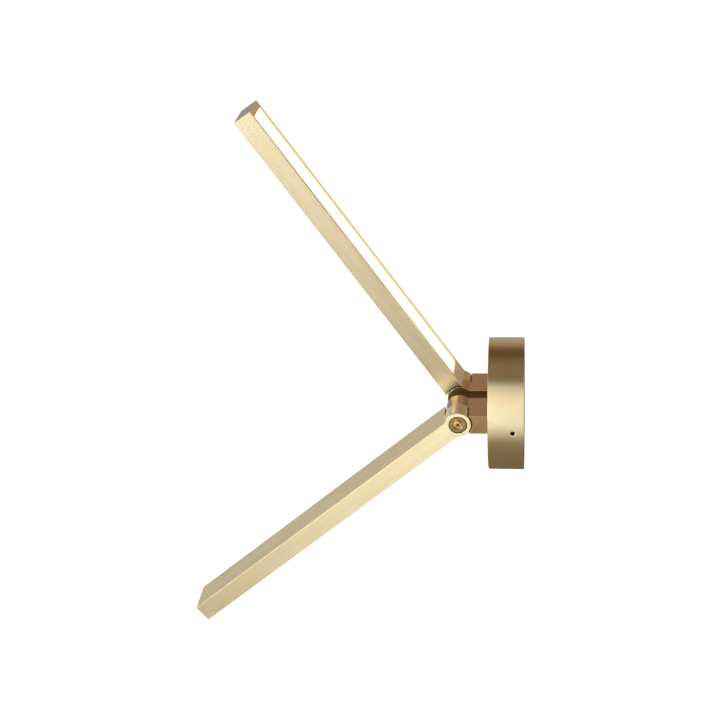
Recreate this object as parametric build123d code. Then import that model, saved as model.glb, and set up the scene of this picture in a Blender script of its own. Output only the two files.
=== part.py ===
from build123d import *
import os
from math import sqrt

# A wall light with two bar-shaped arms that fold on a common hinge axis.
# The wall is the plane Y = 0, the light stands out towards -Y and +Z is up.
# The origin is the centre of the canopy's back, where it meets the wall.
# Lengths are in millimetres and angles in degrees.

# Canopy, the round cup that covers the wall box
canopy_diameter = 120.0
canopy_depth = 32.0
canopy_wall = 1.8
canopy_front = 2.0
canopy_front_round = 0.8
canopy_back_round = 0.4

# Section that the arms and the hinge blocks share
bar_width = 36.5
bar_height = 17.2
edge_break = 0.4
pair_gap = 15.4

# Hinge
block_length = 26.5
knuckle_wall = 1.3
knuckle_fillet = 4.0
relief_gap = 1.1
tongue_gap = 0.3
tongue_edge_break = 0.25
lower_rest_angle = 39.7
upper_rest_angle = 55.8

# Pivot shaft, its screw and its washers
shaft_radius = 5.0
shaft_fit = 0.05
flange_step = 2.8
flange_thickness = 2.6
flange_edge_break = 0.2
flange_set_back = 0.1
flange_play = 0.55
head_pocket_play = 1.2
head_proud = 0.2
spring_washer_inset = 0.8
spring_washer_thickness = 0.5
spring_washer_play = 0.1
friction_washer_width = 1.8
friction_washer_seat = 0.8
friction_washer_play = 0.05
insert_radius = 3.2
insert_length = 7.0
insert_end_wall = 2.1
insert_play = 0.05
screw_end_spare = 0.6

# Lead chamber round the pivot, and the leads
washer_rim = 1.0
chamber_play = 0.4
chamber_rim_step = 0.4
chamber_floor_step = 0.3
lead_radius = 1.1
lead_clearance = 0.4
lead_bend_radius = 6.0
feed_lower_level = 14.0
feed_lower_reach = 14.0
feed_lower_exit_drop = 6.0
feed_upper_level = 9.0
feed_upper_reach = 18.0
feed_upper_exit_rise = 8.0
feed_upper_rise = 9.0
feed_upper_turn = 12.0
board_lead_step = 2.0
board_lead_slope = 7.0
board_lead_rest = 8.0
board_lead_gap = 0.1

# Single wires in the canopy
wire_radius = 0.9
wire_bend_radius = 2.8
wire_step = 4.0
wire_exit_step = 8.0
supply_side_reach = 17.0
supply_turn_rise = 15.0
ground_run = 6.0
ground_drop = 2.0
ground_dip_step = 4.0
ground_dip_depth = 7.0
ground_dip_drop = 3.0
ground_entry_rise = 2.0

# Arm channel and what lies in it
arm_reach = 324.8
lip_width = 3.2
lens_recess = 1.5
lens_thickness = 2.5
lens_play = 0.15
lens_edge_break = 0.3
lens_ledge = 2.0
channel_floor = 4.0
hinge_end_wall = 9.9
tip_plug_length = 6.4
plug_play = 0.03
board_side_gap = 1.05
board_thickness = 1.6
board_end_gap = 3.0
led_length = 3.5
led_width = 2.8
led_height = 0.8
led_pitch = 8.0
board_screw_count = 5
board_screw_margin = 4.0
board_screw_depth = 2.8

# Machine screws: thread radius, head radius, head height
m4_radius = 2.0
m4_head_radius = 3.65
m4_head_height = 2.0
m25_radius = 1.25
m25_head_radius = 2.2
m25_head_height = 1.4
thread_fit = 0.05
hole_clearance = 0.25
head_round = 0.8
small_head_round = 0.5
tapped_spare = 0.4
cross_width = 0.8
cross_length = 3.4
cross_depth = 1.2
cross_turn = 42.0

# Nuts: width across flats and height
m3_nut_flats = 5.5
m3_nut_height = 2.4
m3_radius = 1.5

# Block screws
block_screw_spacing = 24.0
block_screw_depth = 8.0

# Mounting plate and the screws in it
plate_thickness = 1.5
plate_half_height = 13.0
slot_end_margin = 2.8
ear_half_height = 7.0
ear_clearance = 0.4
ear_tip_margin = 5.25
plate_centre_hole_radius = 9.0
box_slot_spacing = 79.4
box_slot_length = 15.0
box_slot_width = 4.6
set_screw_from_wall = 10.0
set_screw_length = 7.0
set_screw_sink = 0.8
set_screw_hole_radius = 2.2
hex_socket_flats = 2.0
hex_socket_depth = 2.0
ground_screw_offset = 24.0
ring_thickness = 0.8
ring_outer_radius = 4.2
ring_tail = 9.0
ring_wire_step = 1.0

# Driver
driver_length = 54.0
driver_height = 28.0
driver_thickness = 19.0
driver_drop = 32.0
driver_corner_round = 1.5
driver_ear_length = 7.0
driver_ear_height = 12.0
driver_ear_thickness = 2.0
stud_spare = 1.6

# Terminal block
terminal_length = 34.0
terminal_height = 16.0
terminal_thickness = 14.0
terminal_rise = 28.0
terminal_pitch = 10.5
terminal_wire_hole_radius = 1.5
terminal_wire_level = 5.0
terminal_screw_radius = 1.6
terminal_screw_sink = 1.0
terminal_slot_depth = 0.8
terminal_slot_width = 0.5
terminal_ear_length = 7.0
lead_insertion = 5.0

# Grommets
grommet_wall = 1.8
grommet_lip = 1.3
grommet_flange_thickness = 1.2

# Places worked out from the sizes above
front_y = -canopy_depth
inside_y = front_y + canopy_front
canopy_radius = canopy_diameter / 2
canopy_inner_radius = canopy_radius - canopy_wall
half_height = bar_height / 2
hinge_reach = canopy_depth + block_length
inner_x = pair_gap / 2
outer_x = inner_x + bar_width
middle_x = (inner_x + outer_x) / 2
block_tongue_x = middle_x - tongue_gap / 2
arm_tongue_x = middle_x + tongue_gap / 2
friction_washer_radius = shaft_radius + friction_washer_width
lead_hole_radius = lead_radius + lead_clearance
chamber_inner_radius = friction_washer_radius + washer_rim
chamber_outer_radius = chamber_inner_radius + 2 * lead_radius + chamber_play
chamber_middle_radius = (chamber_inner_radius + chamber_outer_radius) / 2
chamber_depth = 2 * lead_hole_radius + chamber_floor_step + chamber_rim_step
lead_side_step = lead_hole_radius + chamber_rim_step
knuckle_radius = chamber_outer_radius + knuckle_wall
relief_radius = knuckle_radius + relief_gap
hinge_end_solid = relief_radius + hinge_end_wall
flange_radius = shaft_radius + flange_step
flange_bore_radius = flange_radius + flange_play
flange_outer_x = outer_x - flange_set_back
flange_inner_x = flange_outer_x - flange_thickness
flange_seat_x = flange_inner_x - spring_washer_thickness - spring_washer_play
spring_washer_radius = flange_radius - spring_washer_inset
insert_end_x = inner_x + insert_end_wall
shaft_end_x = insert_end_x + insert_length
head_pocket_radius = m4_head_radius + head_pocket_play
head_seat_x = flange_outer_x - m4_head_height + head_proud
block_screw_xs = [middle_x - block_screw_spacing / 2, middle_x + block_screw_spacing / 2]
block_lead_x = block_tongue_x - lead_side_step
arm_lead_x = arm_tongue_x + lead_side_step
ear_outer_x = sqrt(canopy_inner_radius ** 2 - ear_half_height ** 2) - ear_clearance
ear_inner_x = ear_outer_x - plate_thickness
ear_length = set_screw_from_wall + ear_tip_margin
plate_half_length = (box_slot_spacing + box_slot_length) / 2 + slot_end_margin
grommet_radius = lead_hole_radius + grommet_wall
grommet_flange_radius = grommet_radius + grommet_lip
stud_length = driver_ear_thickness + m3_nut_height + stud_spare
board_width = bar_width - 2 * (lip_width + lens_ledge + board_side_gap)
board_screw_offset = board_width / 2 - board_screw_margin
driver_stud_x = driver_length / 2 + driver_ear_length / 2
terminal_stud_x = terminal_length / 2 + terminal_ear_length / 2

# Heights in the arm's section, with the lens side at -Z
lens_top_z = -half_height + lens_recess
ledge_z = lens_top_z + lens_thickness
floor_z = half_height - channel_floor
board_top_z = floor_z - board_thickness
tip_y = -arm_reach
plug_y = tip_y + tip_plug_length
channel_y = -hinge_end_solid


# Helpers

def span_box(x_low, x_high, y_low, y_high, z_low, z_high):
    """A box between two opposite corners."""
    middle = ((x_low + x_high) / 2, (y_low + y_high) / 2, (z_low + z_high) / 2)
    return Pos(*middle) * Box(x_high - x_low, y_high - y_low, z_high - z_low)


def rod(radius, start, end):
    """A round rod from one point to another."""
    along = Vector(*end) - Vector(*start)
    return extrude(Plane(origin=start, z_dir=along) * Circle(radius), amount=along.length)


def tube(outer_radius, inner_radius, start, end):
    """A rod with a bore right through."""
    return rod(outer_radius, start, end) - rod(inner_radius, start, end)


def hex_bar(flats, start, end):
    """A six-sided bar, given by its width across flats."""
    along = Vector(*end) - Vector(*start)
    outline = RegularPolygon(flats / 2, 6, major_radius=False)
    return extrude(Plane(origin=start, z_dir=along) * outline, amount=along.length)


def shifted(point, direction, distance):
    """The point moved along a unit direction."""
    return tuple(p + d * distance for p, d in zip(point, direction))


def cross_recess(head_top, direction):
    """The cross that a screwdriver fits, sunk into a head's top."""
    outline = Rectangle(cross_length, cross_width) + Rectangle(cross_width, cross_length)
    turned = Rot(0, 0, cross_turn) * outline
    return extrude(Plane(origin=head_top, z_dir=direction) * turned, amount=-cross_depth)


def cross_screw(seat, direction, radius, length, head_radius, head_height, rim_round=head_round):
    """A pan-head screw: its head stands on the seat, towards the given direction."""
    top = shifted(seat, direction, head_height)
    end = shifted(seat, direction, -length)
    head = rod(head_radius, seat, top)
    rim = head.edges().filter_by(GeomType.CIRCLE).sort_by_distance(top)[0]
    head = fillet(rim, rim_round)
    return head + rod(radius, seat, end) - cross_recess(top, direction)


def nut(seat, direction, flats, height, bore_radius):
    """A plain nut that stands on its seat."""
    top = shifted(seat, direction, height)
    return hex_bar(flats, seat, top) - rod(bore_radius, seat, top)


def lead(points, radius, bend_radius):
    """A round lead along straight runs joined by arcs."""
    path = FilletPolyline(*points, radius=[bend_radius] * (len(points) - 2))
    return sweep(Plane(origin=path @ 0, z_dir=path % 0) * Circle(radius), path)


def group(pieces):
    """Several solids kept apart in one node."""
    return Compound(children=[piece.solid() for piece in pieces])


# Canopy and what is fixed in it

def canopy_cover():
    """A cup with a flat front, open at the wall."""
    cup = rod(canopy_radius, (0, 0, 0), (0, front_y, 0))
    rims = cup.edges().filter_by(GeomType.CIRCLE).sort_by(Axis.Y)
    cup = fillet(rims[0], canopy_front_round)
    back_rim = cup.edges().filter_by(GeomType.CIRCLE).sort_by(Axis.Y)[-1]
    cup = fillet(back_rim, canopy_back_round)
    cup -= rod(canopy_inner_radius, (0, 0, 0), (0, inside_y, 0))
    for side in (-1, 1):
        start = (side * (canopy_inner_radius - canopy_wall), -set_screw_from_wall, 0)
        end = (side * (canopy_radius + canopy_wall), -set_screw_from_wall, 0)
        cup -= rod(set_screw_hole_radius, start, end)
        for x in block_screw_xs:
            cup -= rod(m4_radius + hole_clearance, (side * x, front_y, 0), (side * x, inside_y, 0))
        hole_x = side * block_lead_x
        cup -= rod(grommet_radius + thread_fit, (hole_x, front_y, 0), (hole_x, inside_y, 0))
    return cup


def grommets():
    """Rubber rings that the feed leads pass through."""
    rings = []
    flange_y = inside_y + grommet_flange_thickness
    for side in (-1, 1):
        x = side * block_lead_x
        ring = rod(grommet_radius, (x, front_y, 0), (x, inside_y, 0))
        ring += rod(grommet_flange_radius, (x, inside_y, 0), (x, flange_y, 0))
        ring -= rod(lead_hole_radius, (x, front_y, 0), (x, flange_y, 0))
        rings.append(ring)
    return group(rings)


def mounting_plate():
    """A steel strap with slots for the wall box and an ear at each end."""
    plate = span_box(-plate_half_length, plate_half_length, -plate_thickness, 0,
                     -plate_half_height, plate_half_height)
    plate += span_box(-ear_outer_x, ear_outer_x, -plate_thickness, 0,
                      -ear_half_height, ear_half_height)
    plate -= rod(plate_centre_hole_radius, (0, 0, 0), (0, -plate_thickness, 0))
    slot = SlotOverall(box_slot_length, box_slot_width)
    for side in (-1, 1):
        ear = span_box(ear_inner_x, ear_outer_x, -ear_length, 0, -ear_half_height, ear_half_height)
        if side < 0:
            ear = mirror(ear, about=Plane.YZ)
        plate += ear
        hole_start = (side * (ear_inner_x - plate_thickness), -set_screw_from_wall, 0)
        hole_end = (side * canopy_radius, -set_screw_from_wall, 0)
        plate -= rod(m4_radius + thread_fit, hole_start, hole_end)
        slot_plane = Plane(origin=(side * box_slot_spacing / 2, 0, 0), x_dir=(1, 0, 0), z_dir=(0, -1, 0))
        plate -= extrude(slot_plane * slot, amount=plate_thickness)
    plate -= rod(m4_radius + thread_fit, (ground_screw_offset, 0, 0),
                 (ground_screw_offset, -plate_thickness, 0))
    return plate


def set_screws():
    """Two headless screws that hold the canopy on the plate's ears."""
    screws = []
    for side in (-1, 1):
        outer_end = (side * (canopy_radius - set_screw_sink), -set_screw_from_wall, 0)
        inner_end = shifted(outer_end, (-side, 0, 0), set_screw_length)
        socket_end = shifted(outer_end, (-side, 0, 0), hex_socket_depth)
        screws.append(rod(m4_radius, outer_end, inner_end)
                      - hex_bar(hex_socket_flats, outer_end, socket_end))
    return group(screws)


def block_screws():
    """Four screws from inside the canopy into the hinge blocks."""
    length = canopy_front + block_screw_depth
    return group([cross_screw((side * x, inside_y, 0), (0, 1, 0), m4_radius, length,
                              m4_head_radius, m4_head_height)
                  for side in (-1, 1) for x in block_screw_xs])


def driver():
    """A boxed power supply with an ear at each end."""
    half_length = driver_length / 2
    top_y = inside_y + driver_thickness
    body = span_box(-half_length, half_length, inside_y, top_y,
                    -driver_drop - driver_height / 2, -driver_drop + driver_height / 2)
    body = fillet(body.edges().filter_by(Axis.Y), driver_corner_round)
    body = chamfer(body.faces().sort_by(Axis.Y)[-1].edges(), driver_corner_round / 2)
    ear_end = half_length + driver_ear_length
    body += span_box(-ear_end, ear_end, inside_y, inside_y + driver_ear_thickness,
                     -driver_drop - driver_ear_height / 2, -driver_drop + driver_ear_height / 2)
    for side in (-1, 1):
        x = side * driver_stud_x
        body -= rod(m3_radius + hole_clearance, (x, inside_y, -driver_drop),
                    (x, inside_y + driver_ear_thickness, -driver_drop))
    return body


def terminal_block():
    """A three-way connector for the house wires."""
    half_length = terminal_length / 2
    low_z = terminal_rise - terminal_height / 2
    high_z = terminal_rise + terminal_height / 2
    top_y = inside_y + terminal_thickness
    body = span_box(-half_length, half_length, inside_y, top_y, low_z, high_z)
    body = chamfer(body.edges().filter_by(Axis.X), driver_corner_round / 2)
    ear_end = half_length + terminal_ear_length
    body += span_box(-ear_end, ear_end, inside_y, inside_y + driver_ear_thickness,
                     terminal_rise - driver_ear_height / 2, terminal_rise + driver_ear_height / 2)
    for side in (-1, 1):
        x = side * terminal_stud_x
        body -= rod(m3_radius + hole_clearance, (x, inside_y, terminal_rise),
                    (x, inside_y + driver_ear_thickness, terminal_rise))
    for x, y in terminal_poles():
        body -= rod(terminal_wire_hole_radius, (x, y, low_z), (x, y, high_z))
        for z in terminal_screw_levels():
            body -= rod(terminal_screw_radius + thread_fit, (x, y, z), (x, top_y, z))
    return body


def terminal_poles():
    """X and Y of the three wire ways."""
    y = inside_y + terminal_wire_level
    return [(step * terminal_pitch, y) for step in (-1, 0, 1)]


def terminal_screw_levels():
    """Heights of the two clamping screws in each way."""
    return [terminal_rise - terminal_height / 4, terminal_rise + terminal_height / 4]


def terminal_screws():
    """Slotted screws that clamp the wires."""
    top_y = inside_y + terminal_thickness - terminal_screw_sink
    half_slot = terminal_slot_width / 2
    screws = []
    for x, y in terminal_poles():
        for z in terminal_screw_levels():
            end_y = y + terminal_wire_hole_radius + thread_fit
            screw = rod(terminal_screw_radius, (x, end_y, z), (x, top_y, z))
            screw -= span_box(x - terminal_screw_radius, x + terminal_screw_radius,
                              top_y - terminal_slot_depth, top_y, z - half_slot, z + half_slot)
            screws.append(screw)
    return group(screws)


def stud_places():
    """X and Z of the welded studs."""
    return [(side * x, z) for side in (-1, 1)
            for x, z in ((driver_stud_x, -driver_drop), (terminal_stud_x, terminal_rise))]


def cover_studs():
    """Studs welded to the inside of the canopy's front."""
    return group([rod(m3_radius, (x, inside_y, z), (x, inside_y + stud_length, z))
                  for x, z in stud_places()])


def stud_nuts():
    """Nuts that hold the driver and the terminal block on the studs."""
    seat_y = inside_y + driver_ear_thickness
    return group([nut((x, seat_y, z), (0, 1, 0), m3_nut_flats, m3_nut_height, m3_radius + thread_fit)
                  for x, z in stud_places()])


def ground_screw():
    """The screw that bonds the plate to the ground wire."""
    return cross_screw((ground_screw_offset, -plate_thickness - ring_thickness, 0), (0, -1, 0),
                       m4_radius, plate_thickness + ring_thickness, m4_head_radius, m4_head_height)


def ground_ring():
    """A crimped ring terminal under the ground screw."""
    low_y = -plate_thickness - ring_thickness
    start = (ground_screw_offset, -plate_thickness, 0)
    end = (ground_screw_offset, low_y, 0)
    tail_x = ground_screw_offset - ring_tail
    ring = rod(ring_outer_radius, start, end)
    ring += span_box(tail_x, ground_screw_offset, low_y, -plate_thickness, -wire_radius, wire_radius)
    return ring - rod(m4_radius + hole_clearance, start, end)


# Leads inside the canopy

def ground_lead():
    """From the ring terminal to the terminal block's last way."""
    pole_x, pole_y = terminal_poles()[2]
    wire_y = -plate_thickness - ring_thickness - wire_radius - thread_fit
    start_x = ground_screw_offset - ring_outer_radius - ring_wire_step
    end_z = terminal_rise - terminal_height / 2 + lead_insertion
    points = [(start_x, wire_y, 0), (start_x - ground_run, wire_y, -ground_drop),
              (pole_x - ground_dip_step, wire_y - ground_dip_depth, -ground_dip_drop),
              (pole_x, pole_y, ground_entry_rise), (pole_x, pole_y, end_z)]
    return lead(points, wire_radius, wire_bend_radius)


def supply_leads():
    """Live and neutral, from the terminal block round to the driver's end."""
    end_z = terminal_rise - terminal_height / 2 + lead_insertion
    driver_x = -driver_length / 2
    leads = []
    for number, (pole_x, pole_y) in enumerate(terminal_poles()[:2]):
        out_x = driver_x - supply_side_reach + wire_step * number
        turn_z = supply_turn_rise - wire_step * number
        exit_z = -driver_drop + wire_exit_step * (number - 0.5)
        points = [(driver_x, pole_y, exit_z), (out_x, pole_y, exit_z), (out_x, pole_y, turn_z),
                  (pole_x, pole_y, turn_z), (pole_x, pole_y, end_z)]
        leads.append(lead(points, wire_radius, wire_bend_radius))
    return group(leads)


def feed_lead(side):
    """From the driver's other end, through the grommet and the block, to the hinge's chamber."""
    hole_x = side * block_lead_x
    chamber_y = -hinge_reach + chamber_middle_radius
    driver_x = driver_length / 2
    if side > 0:
        level_y = inside_y + feed_lower_level
        exit_z = -driver_drop - feed_lower_exit_drop
        out_x = driver_x + feed_lower_reach
        middle = [(out_x, level_y, exit_z), (out_x, level_y, 0)]
    else:
        level_y = inside_y + feed_upper_level
        exit_z = -driver_drop + feed_upper_exit_rise
        out_x = driver_x + feed_upper_reach
        middle = [(out_x, level_y, exit_z), (out_x, level_y, feed_upper_rise),
                  (hole_x + feed_upper_turn, level_y, feed_upper_rise)]
    points = [(driver_x, level_y, exit_z)] + middle + [(hole_x, level_y, 0), (hole_x, chamber_y, 0)]
    return lead(points, lead_radius, lead_bend_radius)


# Hinge blocks and pivots, made for the lower side with the hinge axis at the origin

def tongue_half(reach, x_low, x_high):
    """The half of a bar that ends in the round knuckle; reach is signed along Y."""
    outline = Pos(reach / 2, 0) * Rectangle(abs(reach), bar_height) + Circle(knuckle_radius)
    creases = [v for v in outline.vertices() if abs(v.Y) > half_height / 2 and abs(v.X) < knuckle_radius]
    outline = fillet(creases, knuckle_fillet)
    side = Plane(origin=(x_low, 0, 0), x_dir=(0, 1, 0), z_dir=(1, 0, 0))
    return extrude(side * outline, amount=x_high - x_low)


def relief_half(reach, x_low, x_high):
    """The half of a bar that is cut hollow round the other piece's knuckle."""
    low_y, high_y = min(0, reach), max(0, reach)
    half = span_box(x_low, x_high, low_y, high_y, -half_height, half_height)
    return half - rod(relief_radius, (x_low, 0, 0), (x_high, 0, 0))


def hinge_block():
    """A short bar from the canopy to the hinge, with a round tongue on its inner half."""
    inner_half = tongue_half(block_length, inner_x, block_tongue_x)
    tongue_rim = inner_half.faces().sort_by(Axis.X)[-1].edges().filter_by(GeomType.CIRCLE)
    inner_half = chamfer(tongue_rim, tongue_edge_break)
    block = inner_half + relief_half(block_length, block_tongue_x, outer_x)
    sides = block.faces().filter_by(Axis.X)
    rims = sides.sort_by(Axis.X)[0].edges() + sides.sort_by(Axis.X)[-1].edges()
    seat_edges = block.faces().sort_by(Axis.Y)[-1].edges()
    rims = [edge for edge in rims if edge not in seat_edges]
    block = chamfer(rims, edge_break)
    washer_low_x = block_tongue_x - friction_washer_seat
    block -= rod(friction_washer_radius + thread_fit, (washer_low_x, 0, 0), (block_tongue_x, 0, 0))
    block -= rod(shaft_radius + thread_fit, (shaft_end_x, 0, 0), (block_tongue_x, 0, 0))
    block -= rod(insert_radius + insert_play, (insert_end_x, 0, 0), (shaft_end_x, 0, 0))
    block -= tube(chamber_outer_radius, chamber_inner_radius, (block_tongue_x - chamber_depth, 0, 0),
                  (block_tongue_x, 0, 0))
    block -= rod(lead_hole_radius, (block_lead_x, chamber_middle_radius, 0),
                 (block_lead_x, block_length, 0))
    for x in block_screw_xs:
        hole_end = (x, block_length - block_screw_depth - tapped_spare, 0)
        block -= rod(m4_radius + thread_fit, hole_end, (x, block_length, 0))
    return block


def pivot_shaft():
    """A hollow shaft with a flanged head that lies flush in the arm's knuckle."""
    flange = rod(flange_radius, (flange_inner_x, 0, 0), (flange_outer_x, 0, 0))
    rim = flange.edges().filter_by(GeomType.CIRCLE).sort_by(Axis.X)[-1]
    flange = chamfer(rim, flange_edge_break)
    shaft = flange + rod(shaft_radius, (shaft_end_x, 0, 0), (flange_inner_x, 0, 0))
    shaft -= rod(head_pocket_radius, (head_seat_x, 0, 0), (flange_outer_x, 0, 0))
    return shaft - rod(m4_radius + hole_clearance, (shaft_end_x, 0, 0), (flange_outer_x, 0, 0))


def pivot_screw():
    """The screw through the shaft, into the threaded insert in the block."""
    length = head_seat_x - insert_end_x - screw_end_spare
    return cross_screw((head_seat_x, 0, 0), (1, 0, 0), m4_radius, length, m4_head_radius, m4_head_height)


def pivot_insert():
    """A steel insert that the pivot screw is driven into."""
    return tube(insert_radius, m4_radius + thread_fit, (insert_end_x, 0, 0), (shaft_end_x, 0, 0))


def pivot_spring_washer():
    """A spring washer that keeps the flange pressed on the arm."""
    return tube(spring_washer_radius, shaft_radius + thread_fit,
                (flange_inner_x - spring_washer_thickness, 0, 0), (flange_inner_x, 0, 0))


def friction_washer():
    """A plastic washer between the two tongues, seated in the block's."""
    return tube(friction_washer_radius, shaft_radius + thread_fit,
                (block_tongue_x - friction_washer_seat, 0, 0),
                (arm_tongue_x - friction_washer_play, 0, 0))


# The arm, made straight out from the hinge with its lens side down

def channel_section(play):
    """The channel's stepped section, looked at from the tip; play shrinks it."""
    wide = bar_width / 2 - lip_width - play
    narrow = wide - lens_ledge
    deep = Pos(0, (floor_z - half_height) / 2) * Rectangle(2 * narrow, floor_z + half_height)
    shallow_height = ledge_z + half_height
    shallow = Pos(0, -half_height + shallow_height / 2) * Rectangle(2 * wide, shallow_height)
    return deep + shallow


def along_arm(section, y_from, y_to):
    """Draws a section out along the arm between two places."""
    plane = Plane(origin=(middle_x, y_from, 0), x_dir=(1, 0, 0), z_dir=(0, -1, 0))
    return extrude(plane * section, amount=y_from - y_to)


def arm_body():
    """One machined bar: knuckle, channel and solid hinge end."""
    outer_half = tongue_half(tip_y, arm_tongue_x, outer_x)
    tongue_rim = outer_half.faces().sort_by(Axis.X)[0].edges().filter_by(GeomType.CIRCLE)
    outer_half = chamfer(tongue_rim, tongue_edge_break)
    body = outer_half + relief_half(tip_y, inner_x, arm_tongue_x)
    sides = body.faces().filter_by(Axis.X)
    rims = sides.sort_by(Axis.X)[0].edges() + sides.sort_by(Axis.X)[-1].edges()
    tip_edges = body.faces().sort_by(Axis.Y)[0].edges()
    rims += [edge for edge in tip_edges if edge not in rims]
    body = chamfer(rims, edge_break)
    body -= along_arm(channel_section(0), channel_y, tip_y)
    body -= rod(flange_bore_radius, (flange_seat_x, 0, 0), (outer_x, 0, 0))
    body -= rod(shaft_radius + shaft_fit, (arm_tongue_x, 0, 0), (flange_seat_x, 0, 0))
    body -= tube(chamber_outer_radius, chamber_inner_radius, (arm_tongue_x, 0, 0),
                 (arm_tongue_x + chamber_depth, 0, 0))
    body -= rod(lead_hole_radius, (arm_lead_x, -chamber_middle_radius, 0), (arm_lead_x, channel_y, 0))
    for x, y in board_screw_places():
        hole_end = (x, y, floor_z + board_screw_depth + tapped_spare)
        body -= rod(m25_radius + thread_fit, (x, y, floor_z), hole_end)
    return body


def tip_plug():
    """The stepped plug that closes the channel, flush with the bar."""
    return along_arm(channel_section(plug_play), plug_y, tip_y)


def lens():
    """The opal diffuser, sunk a little between the lips."""
    half_width = bar_width / 2 - lip_width - lens_play
    plate = span_box(middle_x - half_width, middle_x + half_width, plug_y + lens_play,
                     channel_y - lens_play, lens_top_z, ledge_z)
    return chamfer(plate.faces().sort_by(Axis.Z)[0].edges(), lens_edge_break)


board_start_y = channel_y - board_end_gap
board_end_y = plug_y + board_end_gap


def board_screw_places():
    """X and Y of the screws, spread evenly and set off from the LED row."""
    span = board_start_y - board_end_y
    step = span / board_screw_count
    return [(middle_x + board_screw_offset, board_start_y - step * (number + 0.5))
            for number in range(board_screw_count)]


def led_board():
    """A metal-cored board on the channel's floor."""
    half_width = board_width / 2
    board = span_box(middle_x - half_width, middle_x + half_width, board_end_y, board_start_y,
                     board_top_z, floor_z)
    for x, y in board_screw_places():
        board -= rod(m25_radius + hole_clearance, (x, y, board_top_z), (x, y, floor_z))
    return board


def leds():
    """A row of surface-mounted LEDs with an even pitch."""
    span = board_start_y - board_end_y - led_pitch
    count = int(span // led_pitch) + 1
    first_y = (board_start_y + board_end_y + (count - 1) * led_pitch) / 2
    return group([span_box(middle_x - led_length / 2, middle_x + led_length / 2,
                           first_y - number * led_pitch - led_width / 2,
                           first_y - number * led_pitch + led_width / 2,
                           board_top_z - led_height, board_top_z)
                  for number in range(count)])


def board_screws():
    """Small screws that press the board on the floor."""
    return group([cross_screw((x, y, board_top_z), (0, 0, -1), m25_radius,
                              board_thickness + board_screw_depth, m25_head_radius, m25_head_height,
                              small_head_round)
                  for x, y in board_screw_places()])


def arm_lead():
    """From the hinge's chamber to the near end of the board."""
    rest_z = board_top_z - lead_radius - board_lead_gap
    side_x = middle_x + board_screw_offset
    turn_y = channel_y - board_lead_step
    rest_y = turn_y - board_lead_slope
    points = [(arm_lead_x, -chamber_middle_radius, 0), (arm_lead_x, turn_y, 0),
              (side_x, rest_y, rest_z), (side_x, rest_y - board_lead_rest, rest_z)]
    return lead(points, lead_radius, lead_bend_radius)


# Assembly

def at_hinge(shape, side, angle=0.0):
    """Turns a piece to its rest angle and puts it on the lower (+1) or upper (-1) hinge."""
    turned_over = Rot(0, 0 if side > 0 else 180, 0)
    return Pos(0, -hinge_reach, 0) * Rot(angle, 0, 0) * turned_over * shape


def both_hinges(shape):
    """The same piece at each hinge, as one group."""
    return group([at_hinge(shape, side) for side in (1, -1)])


nodes = {
    "canopy_cover": canopy_cover(),
    "lead_grommets": grommets(),
    "mounting_plate": mounting_plate(),
    "canopy_set_screws": set_screws(),
    "block_screws": block_screws(),
    "led_driver": driver(),
    "terminal_block": terminal_block(),
    "terminal_screws": terminal_screws(),
    "cover_studs": cover_studs(),
    "stud_nuts": stud_nuts(),
    "ground_screw": ground_screw(),
    "ground_ring_terminal": ground_ring(),
    "ground_lead": ground_lead(),
    "supply_leads": supply_leads(),
    "lower_feed_lead": feed_lead(1),
    "upper_feed_lead": feed_lead(-1),
    "lower_hinge_block": at_hinge(hinge_block(), 1),
    "upper_hinge_block": at_hinge(hinge_block(), -1),
    "pivot_shafts": both_hinges(pivot_shaft()),
    "pivot_screws": both_hinges(pivot_screw()),
    "pivot_inserts": both_hinges(pivot_insert()),
    "pivot_spring_washers": both_hinges(pivot_spring_washer()),
    "friction_washers": both_hinges(friction_washer()),
}

arm_pieces = {
    "arm_body": arm_body(),
    "tip_plug": tip_plug(),
    "lens": lens(),
    "led_board": led_board(),
    "leds": leds(),
    "board_screws": board_screws(),
    "arm_lead": arm_lead(),
}
for piece_name, piece in arm_pieces.items():
    nodes["lower_" + piece_name] = at_hinge(piece, 1, lower_rest_angle)
    nodes["upper_" + piece_name] = at_hinge(piece, -1, -upper_rest_angle)

os.makedirs("parts", exist_ok=True)
for node_name, shape in nodes.items():
    export_step(shape, os.path.join("parts", node_name + ".step"))
    print(node_name, len(shape.solids()), round(shape.volume, 1))
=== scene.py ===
# %% [markdown]
# A wall light with two bar arms, lit from inside.
# The real object is a round canopy on the wall with two short blocks on its front. Each block ends in a
# friction hinge, and each hinge holds an aluminium bar with an opal lens let into one side.
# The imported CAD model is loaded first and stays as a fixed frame: it gives the true sizes and the motion.
# This script adds what CAD leaves out: soft edges, surface finishes, glow, a camera and a studio.

# %% Load the frame
import math
from collections import namedtuple
import bmesh
import bpy
from mathutils import Matrix, Vector


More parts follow.
